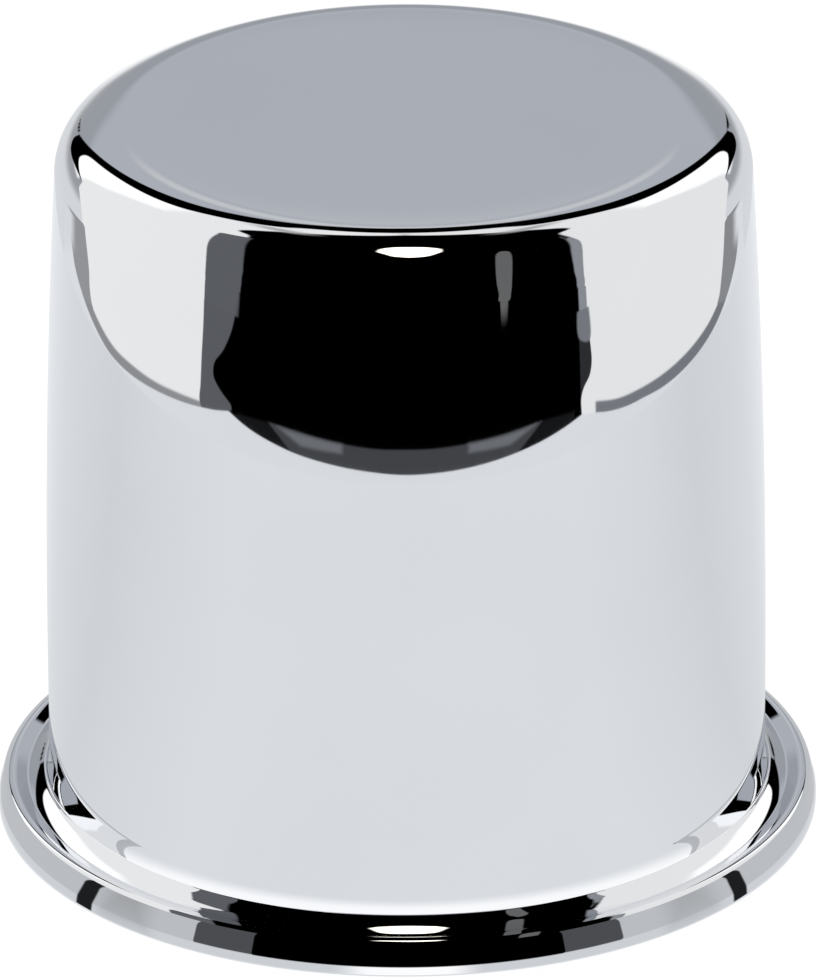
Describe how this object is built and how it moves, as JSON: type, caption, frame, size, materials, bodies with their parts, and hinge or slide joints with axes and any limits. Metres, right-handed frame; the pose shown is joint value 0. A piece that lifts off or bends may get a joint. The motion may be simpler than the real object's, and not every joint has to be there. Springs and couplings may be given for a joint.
{
  "type": "wheel center cap",
  "caption": "Tall chromed push-through wheel center cap, a drawn cup with a closed flat crown, rounded shoulder and turned-down rim, that covers the hub in the wheel's bore.",
  "frame": {"origin": "middle of the circle that the turned-down rim stands on", "axes": "+Z along the axis of the cap, from the open mouth towards the closed crown; X and Y lie in the plane of the rim's foot"},
  "size_m": [0.092, 0.092, 0.0832],
  "materials": {
    "chrome_plate": "mirror-bright chrome plate on drawn steel sheet, plainer inside the cup"
  },
  "bodies": {
    "root": {"center_cap": "chrome_plate"}
  },
  "joints": []
}
